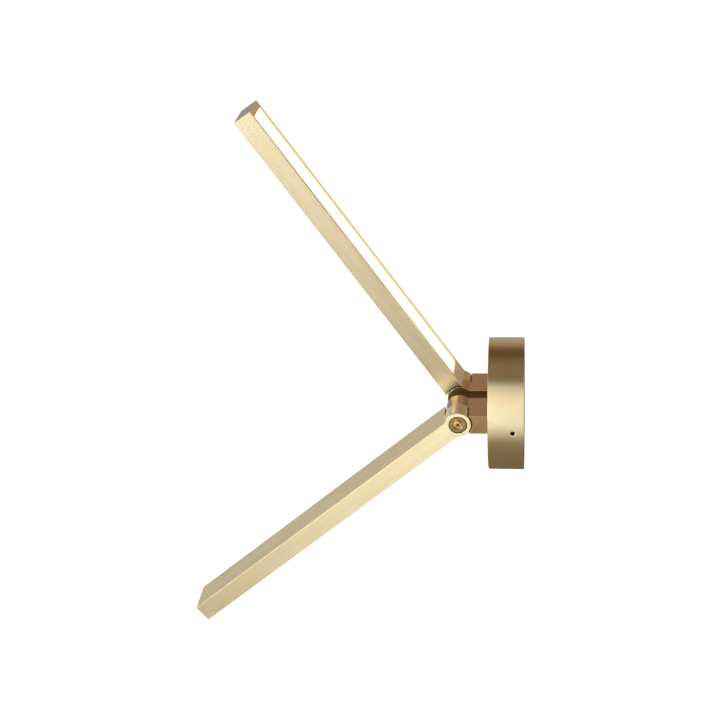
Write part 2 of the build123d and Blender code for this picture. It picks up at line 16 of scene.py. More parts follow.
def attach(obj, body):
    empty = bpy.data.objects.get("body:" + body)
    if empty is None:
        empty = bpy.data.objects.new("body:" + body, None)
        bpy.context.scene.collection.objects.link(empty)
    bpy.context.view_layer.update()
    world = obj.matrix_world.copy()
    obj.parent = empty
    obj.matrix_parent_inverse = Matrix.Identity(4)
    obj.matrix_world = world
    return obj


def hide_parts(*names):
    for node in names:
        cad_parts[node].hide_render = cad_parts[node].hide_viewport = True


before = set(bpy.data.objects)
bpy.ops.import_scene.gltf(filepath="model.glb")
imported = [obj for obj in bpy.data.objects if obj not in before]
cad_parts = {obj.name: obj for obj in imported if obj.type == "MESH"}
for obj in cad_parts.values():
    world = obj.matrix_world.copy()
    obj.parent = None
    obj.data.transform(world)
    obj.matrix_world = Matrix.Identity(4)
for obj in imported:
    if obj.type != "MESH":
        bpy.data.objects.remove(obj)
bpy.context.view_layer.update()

# %% [markdown]
# Sizes are kept in millimetres, as on a workshop drawing, and turned to metres in one place.
# Colours are written as the hex values a picture editor shows. The shader wants linear light, so one
# function undoes the screen's curve. Another adds a node with its settings and links, which keeps every
# material and every geometry tree short enough to read.

# %% Small helpers
MM = 0.001


def linear(hex_colour):
    """The linear colour of an sRGB hex value, with an alpha of 1."""
    channels = [int(hex_colour[i:i + 2], 16) / 255 for i in (1, 3, 5)]
    curve = [c / 12.92 if c <= 0.04045 else ((c + 0.055) / 1.055) ** 2.4 for c in channels]
    return (*curve, 1.0)


def set_inputs(node, inputs):
    """Sets a node's inputs. A value is a number, a colour, or an output socket to link."""
    for name, value in inputs.items():
        if isinstance(value, bpy.types.NodeSocket):
            node.id_data.links.new(value, node.inputs[name])
        else:
            node.inputs[name].default_value = value


def add_node(tree, kind, settings=None, inputs=None):
    """Adds one node with its settings and inputs."""
    made = tree.nodes.new(kind)
    for name, value in (settings or {}).items():
        setattr(made, name, value)
    set_inputs(made, inputs or {})
    return made


def new_piece(name, mesh):
    """An object for a mesh whose place is already in its vertices."""
    piece = bpy.data.objects.new(name, mesh)
    bpy.context.scene.collection.objects.link(piece)
    return piece


def plain_mesh(piece):
    """Applies all modifiers: the evaluated shape becomes the piece's own mesh."""
    graph = bpy.context.evaluated_depsgraph_get()
    made = bpy.data.meshes.new_from_object(piece.evaluated_get(graph))
    piece.modifiers.clear()
    piece.data = made
    return piece


print("a screen grey of #808080, in linear light:", round(linear("#808080")[0], 3))

# %% [markdown]
# The camera stands where the photographer's did. Its place, its direction and its focal length were worked
# out from the straight edges and the round canopy in the picture, so the render can be laid over it.
# A long lens far away keeps the arms nearly parallel-sided.

# %% Camera
CAMERA_PLACE = (1.23608, 0.008, 0.62606)
CAMERA_RIGHT = Vector((-0.10421, 0.99351, -0.04567))
CAMERA_UP = Vector((-0.42646, -0.00316, 0.9045))
CAMERA_LENS = 75.76
camera_data = bpy.data.cameras.new("camera")
camera_data.sensor_width = 36.0
camera_data.lens = CAMERA_LENS
camera_data.clip_start = 0.01
camera_data.clip_end = 60.0
camera = bpy.data.objects.new("camera", camera_data)
right = CAMERA_RIGHT.normalized()
back = right.cross(CAMERA_UP).normalized()
up = back.cross(right)
camera.matrix_world = Matrix.Translation(CAMERA_PLACE) @ Matrix((right, up, back)).transposed().to_4x4()
bpy.context.scene.collection.objects.link(camera)
bpy.context.scene.camera = camera
bpy.context.scene.view_settings.view_transform = "Standard"
print("camera looks along", [round(-c, 3) for c in back])

# %% [markdown]
# The picture has a white ground, but metal shows what surrounds it, so it must not be in a white room. The
# floor tells the rays apart: white for the camera and for glass, and a warm grey for the rest, with part of
# the white where it is far away. It lies well below, so the object's shadow on it stays soft.

# %% Floor
FLOOR_LEVEL = -0.75
FLOOR_HALF = 15.0


def seen_white(tree, metal_share):
    """1 where the camera or glass looks, and the given share where metal looks."""
    path = add_node(tree, "ShaderNodeLightPath")
    metal = add_node(tree, "ShaderNodeMath", {"operation": "MULTIPLY"},
                     {0: path.outputs["Is Glossy Ray"], 1: metal_share})
    direct = add_node(tree, "ShaderNodeMath", {"operation": "MAXIMUM"},
                      {0: path.outputs["Is Camera Ray"], 1: path.outputs["Is Transmission Ray"]})
    return add_node(tree, "ShaderNodeMath", {"operation": "MAXIMUM"},
                    {0: direct.outputs[0], 1: metal.outputs[0]}).outputs[0]


def studio_floor():
    """A wide pale plane that is white to the camera. Metal sees its far part white."""
    corners = [(-1, -1), (1, -1), (1, 1), (-1, 1)]
    mesh = bpy.data.meshes.new("studio_floor")
    mesh.from_pydata([(x * FLOOR_HALF, y * FLOOR_HALF, FLOOR_LEVEL) for x, y in corners], [], [(0, 1, 2, 3)])
    floor = new_piece("studio_floor", mesh)
    material = bpy.data.materials.new("pale_floor")
    material.use_nodes = True
    tree = material.node_tree
    tree.nodes.clear()
    place = add_node(tree, "ShaderNodeTexCoord")
    level = add_node(tree, "ShaderNodeMapping", None, {"Vector": place.outputs["Object"], "Scale": (1, 1, 0)})
    distance = add_node(tree, "ShaderNodeVectorMath", {"operation": "LENGTH"}, {0: level.outputs[0]})
    far = add_node(tree, "ShaderNodeMapRange", {"interpolation_type": "SMOOTHSTEP"},
                   {"Value": distance.outputs["Value"], "From Min": 0.9, "From Max": 1.5, "To Max": 0.5})
    matte = add_node(tree, "ShaderNodeBsdfDiffuse", None, {"Color": linear("#AEA394")})
    glow = add_node(tree, "ShaderNodeEmission", None,
                    {"Color": (1, 1, 1, 1), "Strength": seen_white(tree, far.outputs[0])})
    both = add_node(tree, "ShaderNodeAddShader", None, {0: matte.outputs[0], 1: glow.outputs[0]})
    add_node(tree, "ShaderNodeOutputMaterial", None, {"Surface": both.outputs[0]})
    mesh.materials.append(material)


studio_floor()
print("floor at", FLOOR_LEVEL, "m")

# %% [markdown]
# The room's walls are pale grey up to about thirty degrees and turn to a warm dark ceiling, which gives a
# round piece its light and dark bands. A tall bank and a soft box stand in front, a little to the left, and
# two narrow strips at the sides draw the bright lines along the chamfers. A stretch of terracotta wall
# behind, on the right, is what the upper arm's lens side mirrors: that side is pinkish brown in the picture.

# %% Room and lamps
OBJECT_MIDDLE = Vector((0.0, -0.15, 0.03))
WARM_WALL = Vector((math.cos(math.radians(154)), math.sin(math.radians(154)), -0.03))


def studio_room(stops):
    """A world that the camera and glass see plain white, and metal partly, near the horizon.

    stops are the colours of the walls and ceiling, upwards. Round WARM_WALL it is terracotta instead.
    """
    world = bpy.data.worlds.new("studio_room")
    bpy.context.scene.world = world
    world.use_nodes = True
    tree = world.node_tree
    tree.nodes.clear()
    place = add_node(tree, "ShaderNodeTexCoord")
    split = add_node(tree, "ShaderNodeSeparateXYZ", None, {0: place.outputs["Generated"]})
    ramp = add_node(tree, "ShaderNodeValToRGB", None, {0: split.outputs["Z"]})
    while len(ramp.color_ramp.elements) < len(stops):
        ramp.color_ramp.elements.new(0.5)
    for element, (position, colour) in zip(ramp.color_ramp.elements, stops):
        element.position = position
        element.color = linear(colour)
    low = add_node(tree, "ShaderNodeMapRange", None,
                   {"Value": split.outputs["Z"], "From Min": 0.0, "From Max": 0.5, "To Min": 0.16, "To Max": 0.0})
    towards = add_node(tree, "ShaderNodeVectorMath", {"operation": "DOT_PRODUCT"},
                       {0: place.outputs["Generated"], 1: WARM_WALL})
    near_it = add_node(tree, "ShaderNodeMapRange", {"interpolation_type": "SMOOTHSTEP"},
                       {"Value": towards.outputs["Value"], "From Min": 0.86, "From Max": 0.96})
    tint = add_node(tree, "ShaderNodeMix", {"data_type": "RGBA"},
                    {0: near_it.outputs[0], 6: ramp.outputs["Color"], 7: linear("#CC9F84")})
    elsewhere = add_node(tree, "ShaderNodeMath", {"operation": "SUBTRACT"}, {0: 1.0, 1: near_it.outputs[0]})
    low = add_node(tree, "ShaderNodeMath", {"operation": "MULTIPLY"}, {0: low.outputs[0], 1: elsewhere.outputs[0]})
    walls = add_node(tree, "ShaderNodeBackground", None, {"Color": tint.outputs[2]})
    white = add_node(tree, "ShaderNodeBackground", None, {"Color": (1, 1, 1, 1)})
    final = add_node(tree, "ShaderNodeMixShader", None,
                     {0: seen_white(tree, low.outputs[0]), 1: walls.outputs[0], 2: white.outputs[0]})
    add_node(tree, "ShaderNodeOutputWorld", None, {"Surface": final.outputs[0]})


def soft_box(name, bearing, height, distance, size, power):
    """A rectangular lamp at a bearing from the X axis, that faces the middle of the object."""
    data = bpy.data.lights.new(name, "AREA")
    data.shape = "RECTANGLE"
    data.size, data.size_y = size
    data.energy = power
    lamp = bpy.data.objects.new(name, data)
    lamp.visible_camera = False
    angle = math.radians(bearing)
    place = OBJECT_MIDDLE + Vector((distance * math.cos(angle), distance * math.sin(angle), 0))
    place.z = height
    aim = OBJECT_MIDDLE - place
    lamp.matrix_world = Matrix.Translation(place) @ aim.to_track_quat("-Z", "Y").to_matrix().to_4x4()
    bpy.context.scene.collection.objects.link(lamp)


# Each box: its bearing in degrees, height, distance, width and height in metres, and power in watts.
SOFT_BOXES = {"tall_bank": (-14, 0.62, 1.6, (1.3, 2.7), 11.7), "key_soft_box": (-30, 0.25, 2.1, (0.9, 0.9), 12.3),
              "left_strip": (-71, 0.85, 2.1, (0.5, 1.1), 5.0), "right_strip": (70.5, 0.77, 2.1, (0.5, 1.1), 4.3)}
studio_room([(0.0, "#939392"), (0.25, "#AAA8A4"), (0.5, "#BC9B83"), (0.76, "#5B4326"), (0.88, "#553C22"),
             (1.0, "#957F69")])
for name, box in SOFT_BOXES.items():
    soft_box(name, *box)
print("soft boxes:", len(SOFT_BOXES))

# %% [markdown]
# Every finish here has a grain: brush lines, blasted dents, a mould's texture. One function builds them all,
# from a fine noise for the grain and a slow one for the drift of the tone.
# Real brush lines are about 0.05 mm apart and blasted dents about 0.1 mm wide, but one pixel of the picture
# is about 0.9 mm. At their true size they'd only add noise, so brush lines are drawn 0.7 mm wide and sixty
# times as long, dents 0.8 mm wide, and the other grains at 0.2 to 0.8 mm, as coarse as each has to be.

# %% A surface with grain
CLOUD_STRETCH = 8
earlier = len(bpy.data.materials)


def object_pattern(tree, turn, scale):
    """Object coordinates, turned about X and then stretched for a pattern."""
    place = add_node(tree, "ShaderNodeTexCoord")
    level = add_node(tree, "ShaderNodeMapping", None, {"Vector": place.outputs["Object"], "Rotation": (-turn, 0, 0)})
    return add_node(tree, "ShaderNodeMapping", None, {"Vector": level.outputs[0], "Scale": scale}).outputs[0]


def grained(name, colours, roughness, grain_mm, bump_mm, metallic=0.0, coat=0.0, coat_roughness=0.3,
            stretch=(1, 1, 1), turn=0.0, cloud_mm=18.0, brushed=0.0):
    """A surface whose tone, gloss and relief vary with its grain.

    colours are the two tones it wavers between, roughness its lowest and highest value, grain_mm the
    size of its texture, stretch how much longer that is along each axis, and turn a tilt about X.
    cloud_mm is the size of a slower change of tone. brushed stretches the highlights across the grain's
    long direction, which is Y before the turn.
    """
    material = bpy.data.materials.new(name)
    material.use_nodes = True
    tree = material.node_tree
    tree.nodes.clear()
    shader = add_node(tree, "ShaderNodeBsdfPrincipled")
    add_node(tree, "ShaderNodeOutputMaterial", None, {"Surface": shader.outputs[0]})
    grain_scale = tuple(1 / (grain_mm * MM * s) for s in stretch)
    cloud_scale = tuple(1 / (cloud_mm * MM * min(s, CLOUD_STRETCH)) for s in stretch)
    grain = add_node(tree, "ShaderNodeTexNoise", None,
                     {"Vector": object_pattern(tree, turn, grain_scale), "Scale": 1.0, "Detail": 3.0, "Roughness": 0.6})
    cloud = add_node(tree, "ShaderNodeTexNoise", None,
                     {"Vector": object_pattern(tree, turn, cloud_scale), "Scale": 1.0, "Detail": 2.0, "Roughness": 0.5})
    tone_share = add_node(tree, "ShaderNodeMath", {"operation": "MULTIPLY_ADD"},
                          {0: grain.outputs[0], 1: 0.5, 2: cloud.outputs[0]})
    centred = add_node(tree, "ShaderNodeMapRange", None,
                       {"Value": tone_share.outputs[0], "From Min": 0.55, "From Max": 0.95})
    tone = add_node(tree, "ShaderNodeMix", {"data_type": "RGBA"},
                    {0: centred.outputs[0], 6: linear(colours[0]), 7: linear(colours[1])})
    gloss = add_node(tree, "ShaderNodeMapRange", None,
                     {"Value": grain.outputs[0], "From Min": 0.3, "From Max": 0.7,
                      "To Min": roughness[0], "To Max": roughness[1]})
    relief = add_node(tree, "ShaderNodeBump", None,
                      {"Height": grain.outputs[0], "Strength": 0.5, "Distance": bump_mm * MM})
    set_inputs(shader, {"Base Color": tone.outputs[2], "Roughness": gloss.outputs[0], "Normal": relief.outputs[0],
                        "Metallic": metallic, "Coat Weight": coat, "Coat Roughness": coat_roughness})
    if brushed:
        lines = Matrix.Rotation(turn, 3, "X") @ Vector((0, 1, 0))
        along = add_node(tree, "ShaderNodeCombineXYZ", None, {"X": lines.x, "Y": lines.y, "Z": lines.z})
        carried = add_node(tree, "ShaderNodeVectorTransform",
                           {"vector_type": "VECTOR", "convert_from": "OBJECT", "convert_to": "WORLD"},
                           {0: along.outputs[0]})
        set_inputs(shader, {"Tangent": carried.outputs[0], "Anisotropic": brushed, "Anisotropic Rotation": 0.25})
    return material


print("clouds stretch at most", CLOUD_STRETCH, "times")

# %% [markdown]
# Anodised aluminium is bare metal under a hard clear oxide that holds the dye. The metal gives the coloured
# reflection, and the oxide adds a faint white one that grows at grazing angles, which is why the far sides
# of the arms look greyer than the near ones. That second layer is the shader's coat.

# %% Metals
REST_ANGLES = {"lower": math.radians(39.7), "upper": math.radians(-55.8)}
# Brushed, then anodised: a pale gold with a soft, wide highlight across the lines. The upper bar's copy is
# a shade greyer: painted shade on the same finish.
ARM_TONES = {"lower": ("#E8DDB4", "#F0E5BE"), "upper": ("#DFD3AE", "#E7DCB8")}
arm_finish = {}
for side, angle in REST_ANGLES.items():
    arm_finish[side] = grained("brushed_champagne_anodised_" + side, ARM_TONES[side], (0.40, 0.45), 0.7,
                               0.0025, metallic=1.0, coat=0.5, coat_roughness=0.35, stretch=(1, 60, 1),
                               cloud_mm=6.0, turn=angle, brushed=0.75)
# Bead blasted, then anodised: smooth bands of light and dark with blurred edges, and no lines.
canopy_finish = grained("blasted_champagne_anodised", ("#DDCFA5", "#E2D7AE"), (0.28, 0.32), 0.8, 0.002,
                        metallic=1.0, coat=0.45)
# Milled, then anodised: an olive gold, darker than the canopy.
block_finish = grained("milled_champagne_anodised", ("#A48C60", "#AA9267"), (0.30, 0.35), 0.8, 0.003,
                       metallic=1.0, coat=0.4)
# The blocks' tops keep the drawn bar's lines across the block, with a lighter, redder gold that is painted light on the
# upward faces.
block_top_light = grained("drawn_champagne_anodised", ("#C4A778", "#CAAE80"), (0.28, 0.33), 0.8, 0.003,
                    metallic=1.0, coat=0.4, stretch=(20, 1, 1))
# Chamfers cut with a diamond tool after the brushing: a clean, brighter gold line.
cut_edge = grained("diamond_cut_edge", ("#DFC88C", "#E8D39B"), (0.30, 0.36), 0.3, 0.002, metallic=1.0)
# Painted highlight on the tongue rims and the set screw countersinks: nearly white, and dull, so it shows from every
# side.
highlight_edge = grained("worn_through_edge", ("#F3E6C8", "#FAF0D8"), (0.50, 0.60), 0.3, 0.002, metallic=0.2)
# The inner wall of the lens recess, with painted glow from the lens beside it: a saturated gold line along the glow.
lip_glow = grained("lamp_lit_gold_lip", ("#E2C48E", "#E9CD9A"), (0.35, 0.45), 0.6, 0.004, metallic=1.0)
# The sawn and faced bar end: a greyer metal with lines up and down.
end_finish = grained("cut_bar_end", ("#B5AFA4", "#C1BBB0"), (0.34, 0.42), 0.5, 0.004, metallic=1.0, coat=0.5,
                     stretch=(1, 1, 12))
# Painted shade in the gaps round the hinge and on the flange's rim: nearly black lines that part the pieces.
relief_shade = grained("dark_oxidised_relief", ("#241D13", "#33291B"), (0.45, 0.55), 0.6, 0.006, metallic=0.6)
# Turned, then plated in antique bronze: a brown gold disc with a soft sheen.
shaft_finish = grained("turned_antique_bronze", ("#A68C58", "#AE9460"), (0.30, 0.36), 0.3, 0.004,
                       metallic=1.0, coat=0.2)
# Freshly turned steel: a cold bright ring round the screw's head.
pocket_finish = grained("bare_turned_steel", ("#BDB9B0", "#C9C5BC"), (0.22, 0.30), 0.25, 0.004, metallic=1.0)
# Zinc with a yellow chromate: an orange gold, glossier than the anodised pieces.
gold_zinc = grained("yellow_zinc_plating", ("#E6BC62", "#EEC873"), (0.24, 0.34), 0.4, 0.006, metallic=1.0)
# Plain zinc: a cold blue grey, slightly mottled.
clear_zinc = grained("clear_zinc_plating", ("#B4B8BA", "#C4C7C8"), (0.30, 0.42), 0.8, 0.010, metallic=1.0)
# Hardened and oiled steel: dark grey with a sharper sheen than zinc.
spring_steel = grained("oiled_spring_steel", ("#6B6762", "#78736C"), (0.28, 0.38), 0.4, 0.006, metallic=1.0)
# Tin over brass: a warm silver.
tinned_brass = grained("tinned_brass", ("#C9C5B6", "#D3CFC2"), (0.26, 0.36), 0.5, 0.006, metallic=1.0)
# Painted shade in the screws' recesses: the cross reads black.
recess_shadow = grained("oiled_recess", ("#17130C", "#241D12"), (0.45, 0.60), 0.4, 0.004, metallic=0.4)
# Blackened steel: a soft black with a faint grey sheen, seen inside the set screws' holes.
black_oxide = grained("black_oxide_steel", ("#1E1D1C", "#2B2927"), (0.38, 0.50), 0.3, 0.006, metallic=0.6)
print("metal finishes:", len(bpy.data.materials) - earlier)

# %% [markdown]
# The lens is opal acrylic, a milky plastic that hides the lamps behind it. Lit, it's the brightest thing in
# the picture and shows no shading at all, so it gets an even emission on the shader's own sockets. The other
# plastics are moulded, with a soft uneven gloss, or extruded and smoother.

# %% Plastics, rubber and the lit lens
# Opal acrylic, lit: an even warm white, with a soft shine when the light is off.
opal = grained("lit_opal_acrylic", ("#FBFAF5", "#FFFEFA"), (0.30, 0.36), 0.6, 0.004, cloud_mm=40.0)
set_inputs(opal.node_tree.nodes["Principled BSDF"],
           {"IOR": 1.49, "Emission Color": linear("#FFF6E6"), "Emission Strength": 1.35})
# Phosphor under clear silicone: a glossy lemon yellow dot that glows.
phosphor = grained("yellow_phosphor", ("#F0D048", "#F4DA62"), (0.25, 0.35), 0.2, 0.002)
set_inputs(phosphor.node_tree.nodes["Principled BSDF"],
           {"Emission Color": linear("#FFE9B8"), "Emission Strength": 1.5})
# White solder mask: a smooth, slightly shiny paint, made to throw light back.
board_mask = grained("white_solder_mask", ("#F0F0EC", "#F6F6F2"), (0.30, 0.40), 0.5, 0.003)
# The lamps' moulded packages: a duller white than the board.
led_body = grained("white_lamp_package", ("#F2F1EC", "#F7F6F2"), (0.35, 0.45), 0.3, 0.003)
# Polycarbonate from a spark-eroded mould: an off-white with a fine, even texture.
driver_shell = grained("moulded_white_polycarbonate", ("#E3E2DD", "#EAE9E4"), (0.42, 0.55), 0.5, 0.015)
# Undyed nylon: a slightly yellow, waxy white.
terminal_nylon = grained("moulded_natural_nylon", ("#DEDBCD", "#E6E3D6"), (0.35, 0.48), 0.5, 0.012)
# Acetal friction washers: a clean white edge between the tongues, a little shiny.
slip_plastic = grained("white_slip_plastic", ("#ECEBE5", "#F3F2EC"), (0.35, 0.45), 0.4, 0.004)
# Rubber: black and dull, with no clear highlight.
grommet_rubber = grained("black_rubber", ("#191919", "#222222"), (0.55, 0.70), 0.4, 0.012)
# Enamelled ground screw: a plain green with a soft gloss.
green_paint = grained("green_ground_paint", ("#1F6B33", "#28793B"), (0.30, 0.42), 0.4, 0.006)
# Extruded vinyl round the wires: even colours, smoother and shinier than the moulded pieces.
insulation = {colour: grained("insulation_" + colour, tones, (0.32, 0.42), 0.5, 0.006)
              for colour, tones in (("red", ("#A32A26", "#B2332E")), ("blue", ("#2F5F94", "#3A6CA2")),
                                    ("white", ("#E4E4DF", "#EDEDE8")), ("green", ("#27703A", "#307E43")))}
print("finishes in all:", len(bpy.data.materials) - earlier)

# %% [markdown]
# Many pieces are right in CAD but come as loose flat triangles, with knife-sharp inner edges. A finished
# copy keeps the shape: its triangles are joined, flat areas become single faces, edges left sharp get a tiny
# round, and its normals are weighted so that big faces stay flat while rounds shade smoothly.
# The other way is to rebuild each piece by hand, which would risk small differences from the real part.

# %% Finished copies
MERGE_MM = 0.002
FLAT_ANGLE = math.radians(0.4)
SHARP_ANGLE = math.radians(35)
ROUND_ANGLE = math.radians(50)


def opened(mesh):
    """A bmesh of a mesh, for editing."""
    shape = bmesh.new()
    shape.from_mesh(mesh)
    return shape


def closed(shape, mesh):
    """Writes a bmesh to a mesh, or to a new one of that name, and frees it."""
    mesh = bpy.data.meshes.new(mesh) if isinstance(mesh, str) else mesh
    shape.to_mesh(mesh)
    shape.free()
    return mesh


def join_points(shape):
    """Joins points of a bmesh that lie on top of each other and drops faces with no area."""
    bmesh.ops.remove_doubles(shape, verts=shape.verts, dist=MERGE_MM * MM)
    bmesh.ops.dissolve_degenerate(shape, edges=shape.edges, dist=MERGE_MM * MM)
    return shape


def soften(piece, round_mm=0.0, segments=2):
    """Rounds the sharp edges and gives smooth shading that keeps flat faces flat."""
    if round_mm:
        edge = piece.modifiers.new("edge_round", "BEVEL")
        edge.width = round_mm * MM
        edge.segments = segments
        edge.limit_method = "ANGLE"
        edge.angle_limit = ROUND_ANGLE
        plain_mesh(piece)
    closed(join_points(opened(piece.data)), piece.data)
    piece.data.shade_smooth()
    piece.data.set_sharp_from_angle(angle=SHARP_ANGLE)
    weigh = piece.modifiers.new("even_shading", "WEIGHTED_NORMAL")
    weigh.keep_sharp = True
    return plain_mesh(piece)


def finished_copy(node, name, round_mm=0.0):
    """A softened copy of a CAD node."""
    shape = opened(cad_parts[node].data)
    bmesh.ops.remove_doubles(shape, verts=shape.verts, dist=MERGE_MM * MM)
    bmesh.ops.dissolve_limit(shape, angle_limit=FLAT_ANGLE, verts=shape.verts, edges=shape.edges)
    mesh = closed(shape, name)
    if "custom_normal" in mesh.attributes:
        mesh.attributes.remove(mesh.attributes["custom_normal"])
    return soften(new_piece(name, mesh), round_mm)


def settle(piece, body, material, slot, *nodes):
    """Gives a finished piece its material and its body, and hides the CAD nodes it stands for. slot is not used."""
    if len(piece.data.materials) < 2:
        piece.data.materials.clear()
        piece.data.materials.append(material)
    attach(piece, body)
    if nodes:
        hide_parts(*nodes)
    return piece


print("edges sharper than", round(math.degrees(ROUND_ANGLE)), "degrees are rounded")

# %% [markdown]
# Each line names a CAD node, how much its edges are rounded in millimetres, its finish and its slot. Milled
# bars keep a small round, moulded pieces a larger one, and wires none.

# %% Copies of the nodes
copies = [("canopy", *line) for line in (
    ("lower_hinge_block", 0.12, block_finish, "anodised_aluminium"),
    ("upper_hinge_block", 0.12, block_finish, "anodised_aluminium"),
    ("mounting_plate", 0.20, clear_zinc, "zinc_steel"),
    ("lead_grommets", 0.30, grommet_rubber, "grommet_rubber"),
    ("canopy_set_screws", 0.15, black_oxide, "black_oxide_steel"),
    ("led_driver", 0.30, driver_shell, "driver_shell"),
    ("terminal_block", 0.25, terminal_nylon, "terminal_plastic"),
    ("terminal_screws", 0.08, tinned_brass, "tinned_brass"),
    ("cover_studs", 0.20, clear_zinc, "zinc_steel"),
    ("stud_nuts", 0.20, clear_zinc, "zinc_steel"),
    ("ground_ring_terminal", 0.12, tinned_brass, "tinned_brass"),
    ("ground_lead", 0.0, insulation["green"], "wire_green"),
    ("supply_leads", 0.0, insulation["white"], "wire_white"),
    ("lower_feed_lead", 0.0, insulation["red"], "wire_red"),
    ("upper_feed_lead", 0.0, insulation["blue"], "wire_blue"),
    ("pivot_inserts", 0.15, clear_zinc, "zinc_steel"),
    ("pivot_spring_washers", 0.08, spring_steel, "spring_steel"),
    ("friction_washers", 0.06, slip_plastic, "slip_plastic"))]
for side, colour in (("lower", "red"), ("upper", "blue")):
    copies += [(side + "_arm", side + end, *line) for end, *line in (
        ("_arm_body", 0.12, arm_finish[side], "anodised_aluminium"),
        ("_tip_plug", 0.12, arm_finish[side], "anodised_aluminium"),
        ("_lens", 0.10, opal, "opal_acrylic"),
        ("_led_board", 0.10, board_mask, "board_white"),
        ("_arm_lead", 0.0, insulation[colour], "wire_" + colour))]
finished = {}
for body, node, round_mm, material, slot in copies:
    finished[node] = settle(finished_copy(node, node + "_finished", round_mm), body, material, slot, node)
print("finished copies:", len(copies))

# %% [markdown]
# A bar isn't one even colour. The diamond-cut chamfers are brighter, the gaps round the hinge get a nearly
# black painted shade, the rims a painted highlight, the lens recess a painted glow and the blocks' tops a
# painted lighter tone. Each of these is a rule about where a face lies and which way it looks, once the bar is
# turned level.

# %% Small faces
# Sizes that tell the small faces apart, in mm.
HINGE_Y = -58.5
HINGE_LINE = Vector((0, HINGE_Y * MM, 0))
MIDDLE_X = 25.95
ARM_REACH = 324.8
RELIEF_RADIUS = 12.8
BORE_RADIUS = 8.35
RIM_RADII = (10.9, 11.9)
LENS_HALF = 15.05
RECESS_HEIGHTS = (6.9, 8.5)
Spot = namedtuple("Spot", "across along height away aside look_x look_y area")


def paint(piece, material, chosen):
    """Gives the faces that a rule picks a material of their own."""
    piece.data.materials.append(material)
    index = len(piece.data.materials) - 1
    picked = [face for face in piece.data.polygons if chosen(face)]
    for face in picked:
        face.material_index = index
    return len(picked)


def bar_spot(face, angle):
    """A face's place and direction with the bar turned level, without signs, in mm.

    across, along and height are counted from the hinge line's middle, away from the hinge line and aside
    from the bar's middle plane. look_x and look_y are parts of its normal.
    """
    level = Matrix.Rotation(-angle, 3, "X")
    x, y, z = map(abs, level @ (face.center - HINGE_LINE) / MM)
    look = level @ face.normal
    return Spot(x, y, z, math.hypot(y, z), abs(x - MIDDLE_X), abs(look.x), abs(look.y), face.area / MM ** 2)


def is_cut(spot):
    """A chamfer along the bar, or one across its far end."""
    end_chamfer = spot.look_x < 0.1 and 0.6 < spot.look_y < 0.8 and spot.area < 30
    return 0.6 < spot.look_x < 0.8 or end_chamfer and spot.along > ARM_REACH - 1.8


def is_gap_wall(spot):
    """The round walls of the relief and of the shaft's bore."""
    return spot.look_x < 0.3 and min(abs(spot.away - RELIEF_RADIUS), abs(spot.away - BORE_RADIUS)) < 0.12


def is_tongue_rim(spot):
    """The edge where the two tongues of a hinge meet."""
    return 0.5 < spot.look_x < 0.9 and spot.aside < 0.6 and RIM_RADII[0] < spot.away < RIM_RADII[1]


def is_lip_wall(spot):
    """The walls of the recess that the lens lies in."""
    side_wall = spot.look_x > 0.9 and abs(spot.aside - LENS_HALF) < 0.3
    end_wall = spot.look_y > 0.9 and spot.aside < LENS_HALF + 0.15
    beside_lens = RELIEF_RADIUS - 0.8 < spot.along < ARM_REACH - 1.8
    return (side_wall or end_wall) and beside_lens and RECESS_HEIGHTS[0] < spot.height < RECESS_HEIGHTS[1]


def is_far_end(spot):
    """The bar's end face."""
    return spot.look_y > 0.95 and spot.along > ARM_REACH - 0.8


# Painted shade on the gap walls, a painted highlight on the tongue rims, a painted glow on the lens recess walls.
BAR_RULES = ((cut_edge, is_cut), (relief_shade, is_gap_wall), (highlight_edge, is_tongue_rim),
             (lip_glow, is_lip_wall), (end_finish, is_far_end))


def paint_bar(piece, angle):
    """Paints the small faces of an arm body, a tip plug or a hinge block."""
    counts = [paint(piece, material, lambda face: rule(bar_spot(face, angle))) for material, rule in BAR_RULES]
    # The blocks' upward faces get a painted lighter, redder tone.
    return counts + [paint(piece, block_top_light, lambda face: "block" in piece.name and abs(face.normal.z) > 0.95)]


for side, angle in REST_ANGLES.items():
    for part, turned in (("_arm_body", angle), ("_tip_plug", angle), ("_hinge_block", 0.0)):
        print(side + part, "cut, gap, rim, lip, end and top faces:", paint_bar(finished[side + part], turned))

# %% [markdown]
# What repeats, or follows a rule, is made by geometry trees that are built here in code. A tree has named
# inputs and ends with real geometry in one finish. The result becomes a plain mesh, because an export would
# drop instances.

# %% Geometry trees
def new_tree(name, **inputs):
    """An empty geometry tree with named inputs after the geometry."""
    tree = bpy.data.node_groups.new(name, "GeometryNodeTree")
    tree.interface.new_socket("Geometry", in_out="INPUT", socket_type="NodeSocketGeometry")
    for label, kind in inputs.items():
        tree.interface.new_socket(label, in_out="INPUT", socket_type="NodeSocket" + kind)
    tree.interface.new_socket("Geometry", in_out="OUTPUT", socket_type="NodeSocketGeometry")
    return tree, add_node(tree, "NodeGroupInput"), add_node(tree, "NodeGroupOutput")


def tidy_slots(piece):
    """Drops the empty material slots that a tree leaves."""
    slots = list(piece.data.materials)
    kept = [material for material in slots if material]
    indices = [kept.index(slots[f.material_index]) if slots[f.material_index] else 0 for f in piece.data.polygons]
    piece.data.materials.clear()
    for material in kept:
        piece.data.materials.append(material)
    piece.data.polygons.foreach_set("material_index", indices)
    return piece


def grow(tree, name, mesh, values):
    """Runs a tree on a mesh and returns the result as a plain piece."""
    piece = new_piece(name, mesh)
    modifier = piece.modifiers.new("shape_rule", "NODES")
    modifier.node_group = tree
    for item in tree.interface.items_tree:
        if item.in_out == "INPUT" and item.name in values:
            modifier[item.identifier] = values[item.name]
    return tidy_slots(plain_mesh(piece))


